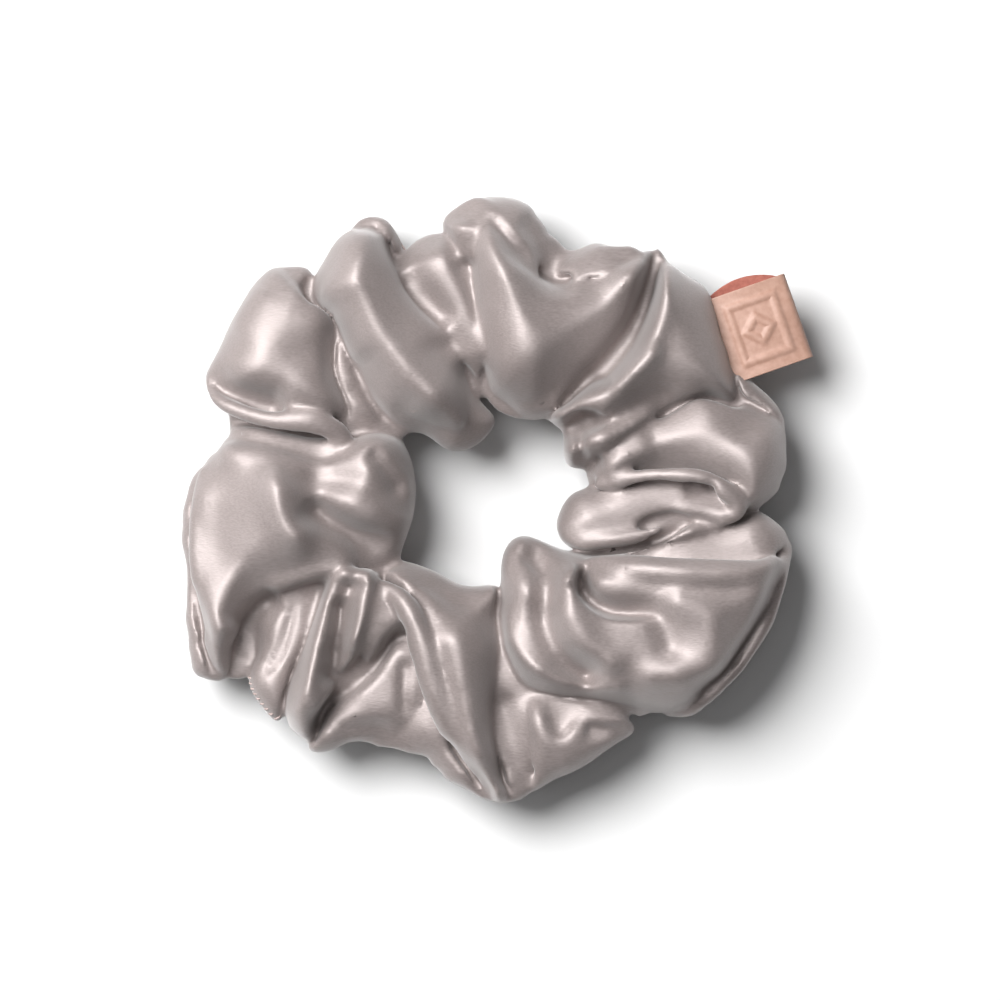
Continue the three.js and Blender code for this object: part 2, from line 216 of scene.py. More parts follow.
# Puffs from the lowest to the topmost: height of the top, width of the rounding along the edge, width of
# the crease cut round it, and its outline seen from above.
PUFFS = {
    "l_pocket": dict(top=14.5, edge=4, gap=0, at=[
        (-48, -27), (-43, -18), (-34, -16), (-36, -27), (-41, -32), (-48, -31.3)]),
    "l_out": dict(top=18, edge=4, gap=0, at=[
        (-48, 6), (-52, 5), (-54.5, 0), (-54.6, -12), (-53.6, -28), (-52, -31.5), (-47, -31.8), (-46, -20),
        (-47, -5)]),
    "m": dict(top=19, edge=5, gap=0.5, at=[
        (6, -32), (14, -32), (21, -34), (25.8, -40.5), (24.5, -43.5), (19, -47.5), (12, -51), (7.5, -52.3),
        (6.5, -46), (6, -40)]),
    "j_left": dict(top=19, edge=5, gap=0.5, at=[
        (-14.5, -42), (-13, -35), (-7, -34), (-2, -44), (2, -54), (-5, -51.5), (-10, -46.5)]),
    "j_right": dict(top=18.5, edge=5, gap=0.4, at=[
        (0, -26), (7, -30), (10, -38), (10, -46), (7.5, -53), (3, -53.6), (0, -46)]),
    "k_left": dict(top=19.5, edge=6, gap=0.7, at=[
        (-40, -16), (-31, -13), (-30, -24), (-34, -33), (-37, -39.5), (-40.5, -37.5), (-43, -33),
        (-41, -26)]),
    "h_out": dict(top=20, edge=6, gap=0.7, at=[
        (34, -4), (42, -3.4), (49, -2.2), (53.5, -5), (54.5, -9.5), (53, -16), (44, -16), (34, -14),
        (27, -10)]),
    "g_back": dict(top=19, edge=5, gap=0.7, at=[
        (42, 26), (47, 22.5), (51.5, 18), (54, 13), (50, 9), (43, 14)]),
    "e_back": dict(top=22, edge=6, gap=0.6, at=[
        (11, 39), (13, 42.5), (16.5, 45), (21, 46.2), (24.5, 45.4), (27, 44), (26, 40), (24, 37), (18, 36)]),
    "d": dict(top=22, edge=7, gap=0.7, at=[
        (-7.5, 50), (-3, 54), (0, 54.8), (6, 54), (10, 50.5), (12.3, 44), (12, 38), (4, 36), (-3, 42)]),
    "b_back": dict(top=20, edge=3.5, gap=0.5, at=[
        (-23, 50.4), (-20, 51.3), (-17.5, 49.5), (-15.4, 45), (-17.5, 42.5), (-21, 46)]),
    "c": dict(top=20.5, edge=8, gap=0.6, at=[
        (-19, 42), (-15, 44), (-11, 47), (-6, 47.5), (-1, 42), (1, 34), (2, 20), (-5, 21), (-12, 31),
        (-17, 37)]),
    "a_under": dict(top=20, edge=7, gap=0.5, at=[
        (-33, 38), (-26, 34), (-20, 24), (-14, 13), (-20, 12.6), (-26, 13), (-31, 20)]),
    "k_low": dict(top=20, edge=6, gap=0.7, at=[
        (-12.5, -22), (-10, -29), (-10, -36), (-14.5, -41), (-22, -43), (-28, -45), (-32, -45), (-30.5, -40),
        (-24, -33), (-18, -27)]),
    "h": dict(top=21, edge=6, gap=0.7, at=[
        (14, -2), (16, 1), (20, 2.5), (30, 6), (40, 6), (46, 0), (42, -5), (33, -8), (27, -8.6), (20, -9.0),
        (15, -8), (13.3, -5)]),
    "k_mid": dict(top=24, edge=5, gap=0.7, at=[
        (-21, -13), (-16, -14.5), (-12.5, -22.5), (-16.5, -26.5), (-22, -30.5), (-23, -23)]),
    "k_ridge": dict(top=26, edge=6, gap=0.8, at=[
        (-27, -12), (-22, -10.5), (-18.5, -14), (-20, -21), (-23, -28), (-28.5, -35), (-30.8, -43),
        (-34, -42), (-36.5, -38), (-34.5, -30), (-31, -21)]),
    "a": dict(top=26, edge=10, gap=0.8, at=[
        (-50.5, 22), (-47, 30), (-41, 40), (-36, 42), (-31, 40.5), (-27, 33), (-27, 24), (-25, 15),
        (-34, 14.0), (-42, 15), (-48, 17.5)]),
    "g": dict(top=25.5, edge=10, gap=0.5, at=[
        (19.5, 3), (22, 10), (30, 16), (38, 20), (43, 20), (49, 17), (53.5, 13.5), (54.5, 8), (53, 3),
        (50, -1), (46.5, -2.5), (44, 1), (38, 4), (30, 4.3)]),
    "f": dict(top=27.5, edge=11, gap=0.8, at=[
        (30.8, 46), (33, 43), (36, 41), (40, 37.5), (43, 30), (45, 22), (45.5, 17.5), (40, 18.4), (36, 17.3),
        (30, 13.7), (24, 9.5), (18.5, 6.6), (15.5, 6.3), (14.5, 9), (14.6, 13), (11.5, 15), (13.5, 17),
        (20, 23), (26, 31), (28.5, 38)]),
    "e": dict(top=28.5, edge=12, gap=0.8, at=[
        (-2.5, 48), (0, 51.5), (3, 49.5), (7, 44.5), (12, 40), (17, 41), (21, 41.8), (24.5, 43.2),
        (27.5, 44.4), (30.4, 45), (29.4, 40), (27, 33), (22, 25.5), (16, 19), (11, 15.5), (7, 15.2), (3, 18),
        (0.5, 20), (-1.5, 30), (-2.5, 42)]),
    "b": dict(top=29, edge=10, gap=0.8, at=[
        (-32, 38), (-27, 46), (-22, 50), (-18.5, 48), (-15.5, 40), (-12, 34.5), (-7, 30.5), (-4, 25),
        (-1.5, 18.5), (1.5, 14.5), (-2, 10.2), (-6.5, 9.3), (-11, 12), (-16.5, 13.5), (-21, 18.5), (-25, 26),
        (-28, 33)]),
    "j": dict(top=27, edge=10, gap=0.8, at=[
        (-17, -11), (-10, -13), (-4, -15.7), (2.4, -16), (2.8, -22), (2.4, -32), (1.6, -42), (3, -50),
        (4.5, -53.5), (1.5, -54.3), (-2, -50), (-7, -42), (-10.5, -34), (-12.5, -26), (-15, -19),
        (-18.5, -14.5)]),
    "i": dict(top=28.5, edge=12, gap=0.8, at=[
        (19.5, -10), (30, -11), (40, -11.5), (49, -12), (53.8, -9.5), (54.5, -13), (51, -22), (46, -30),
        (41, -35), (37, -38.3), (28, -37.8), (20, -36.5), (12, -35.7), (6.5, -33.5), (3.3, -27), (2.5, -20),
        (3, -12), (4.8, -8), (7.5, -7), (11, -8), (15, -9.2)]),
    "l": dict(top=28.5, edge=12, gap=0.8, at=[
        (-50, 7.5), (-46, 10.8), (-40, 11), (-34, 9.5), (-29, 8.6), (-24, 11.5), (-19, 12.3), (-15.5, 10.5),
        (-13.3, 5), (-13.3, -2), (-15.5, -9), (-17, -11.5), (-25, -14), (-32, -15.5), (-38, -17.5),
        (-43, -21), (-46, -26), (-47.5, -31), (-50, -29), (-52, -20), (-52.8, -8), (-52.5, 2)]),
}

# Rolled lips and ridges: points (x, y, z) along the top of a roll, and its radius.
ROLLS = [
    dict(r=2.0, at=[
        (-49.5, 21.5, 17), (-47, 18, 20), (-40, 15.4, 22), (-32, 14.2, 23), (-27.6, 12.7, 21.5),
        (-26.8, 10.7, 20), (-29.5, 9.3, 19.5), (-35, 9.8, 19.5), (-41, 11.4, 19), (-45, 12, 16)]),
    dict(r=1.9, at=[(20, 43.2, 16.5), (23.5, 43.8, 17.5), (27, 44, 17.5)]),
    dict(r=1.0, at=[(-23.5, 49.0, 15), (-21, 50.0, 15.5), (-18.9, 49.6, 16), (-18.0, 48, 17)]),
    dict(r=1.3, at=[
        (-6.5, 50, 16), (-3.5, 52.6, 17), (-1.2, 53.2, 18), (0.8, 51.8, 19.5), (1.8, 50, 20.5), (5, 47, 21),
        (8, 44.5, 20)]),
    dict(r=1.0, at=[(0.8, 19, 15.5), (3.2, 16.9, 15), (7, 15.8, 14.5)]),
    dict(r=1.8, at=[
        (20.5, 2.8, 19), (30, 4.6, 22.5), (37, 4.3, 23), (42, 2.3, 22.5), (45.2, -0.2, 21), (44.4, -2.3, 20),
        (40, -2.6, 20), (35, -1.3, 20)]),
    dict(r=2.2, at=[(14.8, -5.5, 16), (20, -7.4, 19), (27, -7.4, 20.5), (35, -5.0, 20), (43, -3.6, 18)]),
    dict(r=1.7, at=[(20, -11.2, 21), (30, -12.2, 25.5), (40, -12.6, 26), (48, -13.0, 24), (52.3, -11.5, 20)]),
    dict(r=1.5, at=[
        (54.5, -9, 13), (53.2, -13, 16), (50.5, -21.5, 17.5), (46, -29, 18.5), (41, -34.2, 18),
        (36.5, -37.6, 15), (33, -38.6, 11)]),
    dict(r=1.9, at=[
        (-18, -15.4, 22), (-14.6, -19, 24.5), (-11.8, -27, 25), (-8.8, -36, 24), (-4, -45.5, 20),
        (0.5, -52, 16)]),
    dict(r=1.0, at=[(17.8, -38.3, 18.5), (20, -40, 18.5), (23.5, -40.3, 17.5), (26, -41, 15)]),
    dict(r=1.4, at=[(-50.8, 5, 18), (-51.8, -8, 20), (-50.8, -20, 20), (-47.5, -30, 16)]),
]

# Creases: points along the bottom of a groove and its radius.
CREASES = [
    dict(r=1.1, at=[(-40, 13.2, 21), (-35, 12.3, 21), (-29.3, 11.6, 21)]),
    dict(r=1.3, at=[(28, -4.8, 20), (31, -3.7, 20), (35.5, -3.2, 20)]),
    dict(r=1.4, at=[(14.8, 14.2, 21), (17.5, 14.9, 22.5), (20.5, 14.2, 24)]),
    dict(r=1.0, at=[
        (18.4, -12.3, 23), (17.4, -14.8, 25), (18.8, -17.4, 26.5), (21.6, -19.5, 27.5), (25.5, -20.5, 28.4)]),
]


# Broad swells and hollows of the cloth on top: points (x, y) along each, how high, and how wide.
SWELLS = [
    (-1.2, 4.5, [(-36, 36), (-33, 28)]),
    (1.6, 4.5, [(-25, 45), (-22, 35), (-16, 25), (-10, 19)]),
    (-2.0, 4.0, [(-7, 27), (-3, 20), (-1, 14)]),
    (-1.6, 3.5, [(-14, 15), (-6, 12), (0, 13)]),
    (1.6, 6.0, [(2, 45), (3, 36), (6, 27)]),
    (-1.6, 5.0, [(20, 36), (15, 26), (10, 19)]),
    (-3.3, 1.7, [(31, 43), (29, 36), (26, 28), (22, 23)]),
    (1.4, 2.0, [(32, 42), (32, 34), (29, 26), (24, 21)]),
    (1.4, 2.2, [(12.5, 16), (18, 18.6), (24, 21), (30, 26)]),
    (-1.8, 2.4, [(17, 13.5), (24, 15.5), (32, 19.5)]),
    (1.0, 2.2, [(16, 9), (22, 11.5), (29, 14.6)]),
    (-1.5, 1.2, [(17.5, 8), (17.5, 13)]),
    (-1.4, 5.0, [(46, 13), (38, 12), (30, 8)]),
    (1.3, 4.0, [(22, -14.5), (34, -15.5), (46, -15)]),
    (-3.4, 2.6, [(9, -11), (11, -16), (11, -22), (13.5, -27.5), (18, -31)]),
    (1.6, 2.8, [(15, -15), (15.6, -20), (18.5, -26), (22, -29.5)]),
    (-1.5, 2.4, [(31.8, -22.5), (33, -26)]),
    (1.2, 1.6, [(3.5, -21), (6.3, -27.5), (11, -31.6), (17, -33.4), (24, -33.8)]),
    (1.3, 2.8, [(35, -18.6), (40, -21), (41, -26), (38, -30.5), (30, -32)]),
    (-1.6, 3.8, [(-11, -15), (-5, -19), (1, -21)]),
    (1.2, 3.4, [(-6, -26), (-3, -36), (-1, -45)]),
    (-2.6, 1.8, [(3.6, -37), (4.8, -44), (6.8, -51)]),
    (-2.0, 2.0, [(-24.5, -17), (-25.5, -24), (-28, -31)]),
    (1.2, 1.8, [(-21, -14), (-21.5, -21), (-25, -29), (-30, -37)]),
    (1.6, 3.4, [(-38, 3), (-36, -1), (-34, -5)]),
    (-2.6, 3.2, [(-31, -2), (-24, -6), (-17, -10)]),
    (-1.0, 2.2, [(-31, 3.5), (-24, 3), (-17, 1)]),
    (1.3, 2.0, [(-46, -23), (-41, -17.8), (-33, -14.6), (-26, -13)]),
    (-1.4, 5.0, [(-46, 2), (-46, -8), (-43, -14)]),
    (1.0, 2.6, [(-46, 8.6), (-38, 8.8), (-30, 6.6), (-22, 9.5)]),
    (-1.2, 1.3, [(-20, 7.5), (-16.5, 3)]),
    (-1.0, 1.1, [(-24, 20), (-19, 15)]),
]


# Folds: height, width on the left of the line and on its right as it is walked, and the points (x, y).
FOLDS = [
    # the left diamond and the tucks round it
    (-2.6, 3.2, 1.3, [(-51, 23), (-46.5, 20), (-41, 18), (-35, 16.8)]),
    (-2.2, 3.2, 0.9, [(-39, 45.5), (-35.6, 41), (-32.6, 38), (-30, 35.6)]),
    (0.9, 1.6, 3.0, [(-30.8, 36), (-31.2, 28), (-30.4, 21), (-27, 15)]),
    (0.8, 2.4, 2.4, [(-46, 30), (-40, 39)]),
    # the leaf's crisp right edge, and its rolled top
    (1.3, 0.9, 2.6, [
        (-20, 48), (-18, 42.5), (-14.3, 36.6), (-10.5, 33.2), (-7, 30.6), (-5.4, 27), (-3.6, 20), (-1, 14)]),
    (-1.2, 1.0, 1.0, [(-24, 49), (-21.4, 49.2), (-19, 48.2)]),
    (-0.9, 3.0, 3.0, [(-24, 27), (-18, 21), (-12, 16)]),
    # the narrow tucks between the leaf and the big puff
    (2.4, 0.9, 3.2, [(-9.5, 48.5), (-7.2, 42.5), (-4, 35), (-1.8, 28), (-1, 22)]),
    (-1.6, 2.0, 2.0, [(-14.5, 42), (-10.5, 37), (-6, 31)]),
    (1.6, 1.2, 1.4, [(-4.2, 51), (-4.4, 46.5), (-4, 42)]),
    (-1.1, 0.9, 0.9, [(0.4, 52), (3, 48.6), (6, 45.8), (8.6, 43.2)]),
    (-1.7, 1.6, 1.6, [(6.4, 51.4), (8.8, 48), (10.8, 44), (11.8, 40.5)]),
    # the big upper puff
    (1.2, 0.9, 2.8, [
        (-2, 47), (3, 43.0), (8, 40.0), (13, 38.4), (17.5, 39.8), (22, 40.6), (27, 42.2), (30.5, 43.8)]),
    (-1.0, 1.6, 2.2, [(10.5, 42.6), (13, 39.9), (16, 39.6)]),
    # the apex and its streak, the pocket at the hole
    (-2.4, 1.3, 1.1, [(31, 46), (30.4, 40), (27.6, 33.5), (23, 27), (16, 19.5), (11, 15)]),
    (1.4, 2.0, 1.4, [(33, 43.6), (32.6, 38), (30.6, 32.5), (26.5, 26.5), (21, 21.4)]),
    (1.5, 2.2, 0.8, [(11.2, 14.6), (14.6, 15.6), (17.4, 17.2), (20.6, 17), (22.6, 15)]),
    (-2.2, 0.9, 2.2, [(14.4, 13.6), (17.6, 15.2), (21, 14.9)]),
    (0.5, 0.6, 0.6, [(16.4, 8), (16.8, 13.5)]),
    (0.5, 0.6, 0.6, [(18.2, 8.4), (18.6, 13.6)]),
    (0.8, 2.4, 0.9, [(17, 8), (24, 11.2), (30, 15.4), (36, 18.8), (41, 19.4)]),
    # the flap below it and its hairpin
    (1.0, 3.0, 3.0, [(20.5, 6.4), (25, 8), (31, 10.6)]),
    (-1.6, 1.0, 1.0, [(35.5, 2.3), (39, 1.9), (41.6, 2.6)]),
    (-1.8, 1.4, 0.8, [(16, -9.4), (24, -8.8), (31, -7.2), (37.5, -4.2), (43, -4.6)]),
    # the big lower right puff
    (1.4, 0.8, 2.2, [(18.6, -11.2), (25, -11.8), (34, -12.6), (44, -13.2), (50, -12.4), (53, -9)]),
    (-3.4, 2.4, 0.9, [(19.4, -11.6), (17.4, -14.6), (18.6, -17.6), (22, -19.8), (27, -20.6), (34, -20.4)]),
    (1.6, 0.8, 1.6, [(14.2, -16), (15.2, -13.4), (17, -12.6)]),
    (-1.5, 0.9, 1.3, [
        (54.2, -9), (52.6, -14), (49.8, -20.8), (44.8, -28.8), (40, -34), (35, -38.6), (32, -41)]),
    (1.0, 1.6, 1.2, [(50.6, -14.5), (48, -21), (43, -28.6), (38.6, -33.4)]),
    # the bottom ridge and the tucks on each side
    (1.2, 1.0, 2.4, [
        (0.5, -52), (-4.2, -45), (-7.6, -38.5), (-10, -32), (-11.6, -25), (-14.6, -18.2), (-17.4, -15.4)]),
    (-1.8, 0.9, 0.9, [(-8.4, -41.6), (-4.4, -47.2), (-0.6, -51.6), (1.5, -54)]),
    (1.1, 1.6, 1.6, [(8.4, -35), (10, -42), (9.4, -50)]),
    (1.7, 1.0, 1.6, [(8.8, -35.5), (10.2, -41), (12.8, -43.8), (15.8, -42.4), (17.4, -38)]),
    (-2.2, 0.9, 1.4, [(17.6, -41.2), (21, -41.6), (25.6, -41.6)]),
    (0.9, 1.4, 1.4, [(12, -49.5), (18, -46), (24.6, -42.8)]),
    # the ridges at the lower left
    (1.4, 1.6, 0.9, [(-26, -12), (-28.8, -18), (-30.6, -25), (-32, -33), (-34.6, -40)]),
    (1.3, 1.2, 1.2, [(-23.6, -15.6), (-23.4, -21), (-24.6, -28)]),
    (-1.4, 1.2, 1.2, [(-26.4, -17), (-27, -23), (-28.6, -30)]),
    (-2.0, 0.9, 0.9, [
        (-14, -22.5), (-17, -25.6), (-20.2, -30.4), (-23.6, -33.6), (-27.4, -36), (-30.2, -39.6),
        (-31.4, -44.5)]),
    (1.2, 1.2, 1.2, [(-13.6, -26), (-17.4, -28.6), (-20.6, -33), (-26, -37)]),
    (-1.8, 1.0, 1.0, [(-14.6, -28.5), (-15, -34), (-14.8, -39.6)]),
    (-1.4, 1.6, 1.0, [(-27.5, -42.4), (-22, -41.2), (-17, -41.6)]),
    (-1.8, 0.9, 0.9, [(-34.4, -17), (-36, -24), (-38, -29), (-40.8, -31.8)]),
    (-3.0, 2.6, 2.0, [(-44.6, -24), (-41.6, -20.6), (-36.4, -18.2)]),
    # the big left puff
    (1.5, 1.8, 2.4, [(-34.5, 4.5), (-37.2, 1.4), (-37.4, -2.4), (-34.6, -6), (-30, -8.6)]),
    (-2.6, 2.0, 3.0, [(-32.5, 0.5), (-28.6, -3.4), (-23, -6), (-17, -9)]),
    (1.4, 1.8, 0.9, [(-50.6, 7), (-52, 0), (-52.2, -8), (-51.4, -15), (-49.6, -22), (-48, -29)]),
    (-1.3, 0.9, 0.9, [(-53.6, -14.5), (-52, -20), (-50.2, -26)]),
]


def smooth_curve(points, closed, per=CURVE_STEPS):
    """A Catmull-Rom curve through the points."""
    p = np.array(points, float)
    if closed:
        p = np.vstack([p[-1:], p, p[:2]])
    else:
        p = np.vstack([2 * p[:1] - p[1:2], p, 2 * p[-1:] - p[-2:-1]])
    out = []
    for a, b, c, d in zip(p[:-3], p[1:-2], p[2:-1], p[3:]):
        for t in np.arange(per) / per:
            curved = (2 * a - 5 * b + 4 * c - d) * t**2 + (3 * b - a - 3 * c + d) * t**3
            out.append(0.5 * (2 * b + (c - a) * t + curved))
    if not closed:
        out.append(p[-2])
    return np.array(out)


def segments(points, closed, x, y):
    """The short pieces of a curve. For each: its two ends, its direction, and for every (x, y) the way
    there from its start, the nearest place along it from 0 to 1, and the distance squared."""
    p = smooth_curve(points, closed)
    ends = np.roll(p, -1, axis=0) if closed else p[1:]
    for a, b in zip(p, ends):
        e = b - a
        w = (x - a[0], y - a[1])
        t = np.clip((w[0] * e[0] + w[1] * e[1]) / (e @ e), 0, 1)
        yield a, b, e, w, t, (w[0] - t * e[0]) ** 2 + (w[1] - t * e[1]) ** 2


def outline_distance(points, x, y):
    """Distance to a closed outline, negative inside it."""
    nearest = np.full(x.shape, np.inf)
    inside = np.zeros(x.shape, bool)
    for a, b, e, w, _, d in segments(points, True, x, y):
        nearest = np.minimum(nearest, d)
        if a[1] != b[1]:
            inside ^= ((a[1] <= y) != (b[1] <= y)) & (w[0] < w[1] / e[1] * e[0])
    return np.where(inside, -1, 1) * np.sqrt(nearest)


def line_distance(points, x, y):
    """Distance in plan to an open curve."""
    nearest = np.full(x.shape, np.inf)
    for *_, d in segments(points, False, x, y):
        nearest = np.minimum(nearest, d)
    return np.sqrt(nearest)


def fold_height(points, left, right, x, y):
    """1 along a line in plan, falling off over a width on its left and one on its right, 0 at its ends."""
    nearest = np.full(x.shape, np.inf)
    turn = np.zeros(x.shape)
    along = np.zeros(x.shape)
    count = CURVE_STEPS * (len(points) - 1)
    for i, (_, _, e, w, t, d) in enumerate(segments(points, False, x, y)):
        closer = d < nearest
        nearest = np.where(closer, d, nearest)
        turn = np.where(closer, e[0] * w[1] - e[1] * w[0], turn)
        along = np.where(closer, (i + t) / count, along)
    fade = np.clip(np.minimum(along, 1 - along) / FOLD_FADE, 0, 1)
    return np.exp(-nearest / np.where(turn > 0, left, right) ** 2) * fade * fade * (3 - 2 * fade)


def blurred(field, sigma):
    """A Gaussian blur of a 2-D field, sigma in cells."""
    reach = int(3 * sigma) + 1
    k = np.exp(-0.5 * (np.arange(-reach, reach + 1) / sigma) ** 2)
    k /= k.sum()
    for axis in (0, 1):
        pad = [(0, 0), (0, 0)]
        pad[axis] = (reach, reach)
        wide = np.pad(field, pad, mode="edge")
        n = field.shape[axis]
        field = sum(w * np.take(wide, np.arange(i, i + n), axis=axis) for i, w in enumerate(k))
    return field


def smooth_min(a, b, k):
    """The smaller of two distances, blended over a width k where they are close."""
    h = np.clip(0.5 + 0.5 * (b - a) / k, 0, 1)
    return b + (a - b) * h - k * h * (1 - h)


def chain_distance(roll, grid, pitch):
    """Distance to a roll along 3-D points, negative inside, far away where it can't matter."""
    radius = roll["r"]
    within = radius + ROLL_REACH
    p = smooth_curve(roll["at"], False, ROLL_STEPS)
    count = len(p) - 1
    out = np.full(grid[0].shape, FAR)
    for i, (a, b) in enumerate(zip(p[:-1], p[1:])):
        first = (np.minimum(a, b) - within - LOW) / pitch
        last = (np.maximum(a, b) + within - LOW) / pitch
        cut = tuple(slice(max(0, int(m)), max(0, int(n) + 2)) for m, n in zip(first, last))
        w = [g[cut] - a[k] for k, g in enumerate(grid)]
        e = b - a
        t = np.clip((w[0] * e[0] + w[1] * e[1] + w[2] * e[2]) / (e @ e), 0, 1)
        d = np.sqrt(sum((w[k] - t * e[k]) ** 2 for k in range(3)))
        # the roll tapers towards both ends
        s = (i + t) / count
        taper = 0.45 + 0.55 * np.sqrt(np.clip(np.minimum(s, 1 - s) / ROLL_TAPER, 0, 1))
        out[cut] = np.minimum(out[cut], d - radius * taper)
    return out


def surface_nets(field, low, step):
    """Vertices and quads of the surface where the field is zero."""
    inside = field < 0
    size = tuple(n - 1 for n in field.shape)
    count = np.zeros(size)
    total = np.zeros((*size, 3))
    for axis in range(3):
        others = [k for k in range(3) if k != axis]
        for i, j in ((0, 0), (0, 1), (1, 0), (1, 1)):
            start = [0, 0, 0]
            start[others[0]] = i
            start[others[1]] = j
            end = list(start)
            end[axis] = 1
            f0 = field[tuple(slice(m, m + n) for m, n in zip(start, size))]
            f1 = field[tuple(slice(m, m + n) for m, n in zip(end, size))]
            cross = (f0 < 0) != (f1 < 0)
            t = np.where(cross, f0 / np.where(cross, f0 - f1, 1), 0)
            count += cross
            for k in range(3):
                total[..., k] += cross * (t if k == axis else start[k])
    used = count > 0
    index = np.full(size, -1, int)
    index[used] = np.arange(used.sum())
    cells = np.argwhere(used)
    vertices = low + step * (cells + total[used] / count[used][:, None])
    quads = []
    for axis in range(3):
        b, c = [k for k in range(3) if k != axis]
        lead = [slice(1, n) for n in size]
        lead[axis] = slice(0, size[axis])
        here = inside[tuple(lead)]
        step_on = [slice(s.start, s.stop) for s in lead]
        step_on[axis] = slice(lead[axis].start + 1, lead[axis].stop + 1)
        there = inside[tuple(step_on)]
        found = np.argwhere(here != there)
        corner = found + np.array([s.start for s in lead])
        out_first = here[tuple(found.T)]
        around = []
        for db, dc in ((1, 1), (0, 1), (0, 0), (1, 0)):
            cell = corner.copy()
            cell[:, b] -= db
            cell[:, c] -= dc
            around.append(index[tuple(cell.T)])
        quad = np.stack(around, axis=1)
        flip = out_first if axis != 1 else ~out_first
        quad[~flip] = quad[~flip][:, ::-1]
        quads.append(quad)
    return vertices, np.vstack(quads)


def puffs_field(field, x2, y2, z, pitch):
    """Lays the puffs over one another, each in a crease cut into the ones below."""
    for puff in PUFFS.values():
        d = blurred(outline_distance(puff["at"], x2, y2), OUTLINE_BLUR / pitch)
        half = puff["top"] - MIDDLE_Z
        side = np.maximum(0, 1 + d / puff["edge"])[:, :, None]
        # low puffs still hang down towards the table
        up = np.maximum((z - MIDDLE_Z) / half, (MIDDLE_Z - z) / max(half, HANG))
        f = ((side**PUFF_POWER + up**PUFF_POWER) ** (1 / PUFF_POWER) - 1) * min(half, puff["edge"])
        if puff["gap"]:
            moat = np.maximum(f - puff["gap"], MIDDLE_Z + MOAT_FLOOR - z)
            field = -smooth_min(-field, moat, MOAT_BLEND)
        field = smooth_min(field, f, PUFF_BLEND)
    return field


def swell_height(x2, y2):
    """How far the top is raised or sunk by the broad swells and the folds."""
    swell = np.zeros_like(x2)
    for height, width, points in SWELLS:
        swell += height * np.exp(-((line_distance(points, x2, y2) / width) ** 2))
    for height, left, right, points in FOLDS:
        breadth = RIDGE_BREADTH if height > 0 else VALLEY_BREADTH
        height = RIDGE_HEIGHT * height if height > 0 else height
        swell += height * fold_height(points, breadth * left, breadth * right, x2, y2)
    return swell


def gather_height(x2, y2, around):
    """Fine gathers that run out from the hole."""
    angle = np.arctan2(y2, x2)
    gathers = np.zeros_like(x2)
    random = np.random.default_rng(GATHER_SEED)
    for count in GATHER_COUNTS:
        phase = random.uniform(0, 2 * math.pi)
        lean = random.uniform(-0.05, 0.05)
        gathers += np.sin(count * (angle + lean * (around - CORE_RADIUS)) + phase) / count
    return gathers * GATHER_HEIGHT


def cover_field(pitch):
    """The cover's shape: about the distance to its surface, negative inside, on a grid of that pitch."""
    axes = [np.arange(LOW[k], HIGH[k], pitch) for k in range(3)]
    x2, y2 = np.meshgrid(axes[0], axes[1], indexing="ij")
    grid = np.meshgrid(*axes, indexing="ij")
    z = grid[2]
    around = np.hypot(x2, y2)
    core = (np.abs(around - CORE_RADIUS) / CORE_HALF_WIDTH)[:, :, None]
    core = (np.sqrt(core**2 + ((z - MIDDLE_Z) / CORE_HALF_HEIGHT) ** 2) - 1) * CORE_HALF_HEIGHT
    field = puffs_field(np.full(z.shape, FAR), x2, y2, z, pitch)
    field = smooth_min(field, core, CORE_BLEND)
    for roll in ROLLS:
        field = smooth_min(field, chain_distance(roll, grid, pitch), ROLL_BLEND)
    for crease in CREASES:
        field = -smooth_min(-field, chain_distance(crease, grid, pitch), CREASE_BLEND)
    # where the top, the underside, the inner part and the outer wall are, from 0 to 1
    top = np.clip((z - MIDDLE_Z - 1) / 6, 0, 1)
    under = np.clip((MIDDLE_Z + 2 - z) / 7, 0, 1)
    inner = (np.clip((50 - around) / 8, 0, 1) * np.clip((around - 17) / 6, 0, 1))[:, :, None]
    outer = np.clip((around - 42) / 8, 0, 1)[:, :, None]
    wall = (1 - np.clip(np.abs(z - MIDDLE_Z) / 9, 0, 1)) * outer
    near_hole = np.exp(-np.maximum(0, around - 15) / 7)[:, :, None]
    field = field - swell_height(x2, y2)[:, :, None] * top
    share = under * inner + WALL_GATHERS * wall + HOLE_GATHERS * near_hole * top
    field = field + gather_height(x2, y2, around)[:, :, None] * share
    # flat where it rests
    return -smooth_min(-field, z - REST_HEIGHT, FLOOR_BLEND)


def relax(vertices, quads, rounds, strength):
    """Laplacian smoothing over the edges of the quads."""
    edges = np.vstack([quads[:, [i, (i + 1) % 4]] for i in range(4)])
    n = len(vertices)
    degree = np.bincount(edges.ravel(), minlength=n)[:, None]
    for _ in range(rounds):
        total = np.zeros_like(vertices)
        for k in range(3):
            total[:, k] = np.bincount(edges[:, 0], vertices[edges[:, 1], k], n)
            total[:, k] += np.bincount(edges[:, 1], vertices[edges[:, 0], k], n)
        vertices = vertices + strength * (total / degree - vertices)
    return vertices


def mesh_object(name, vertices, faces, material):
    """A smooth-shaded object from an array of vertices and a list of faces."""
    mesh = bpy.data.meshes.new(name)
    mesh.from_pydata(vertices.tolist(), [], faces)
    mesh.validate()
    mesh.shade_smooth()
    obj = bpy.data.objects.new(name, mesh)
    bpy.context.collection.objects.link(obj)
    mesh.materials.append(material)
    return obj


# the cloth is simulated at this many times its size
CLOTH_SCALE = 10
CLOTH_FRAMES = 14
CLOTH_HOLD = 0.35
# its movement is smoothed, made larger, capped in millimetres, and shared out to the fine surface
MOVE_ROUNDS = 24
MOVE_GAIN = 1.6
MOVE_CAP = 1.6
SHARED_ROUNDS = 8
NEAR_COUNT = 4


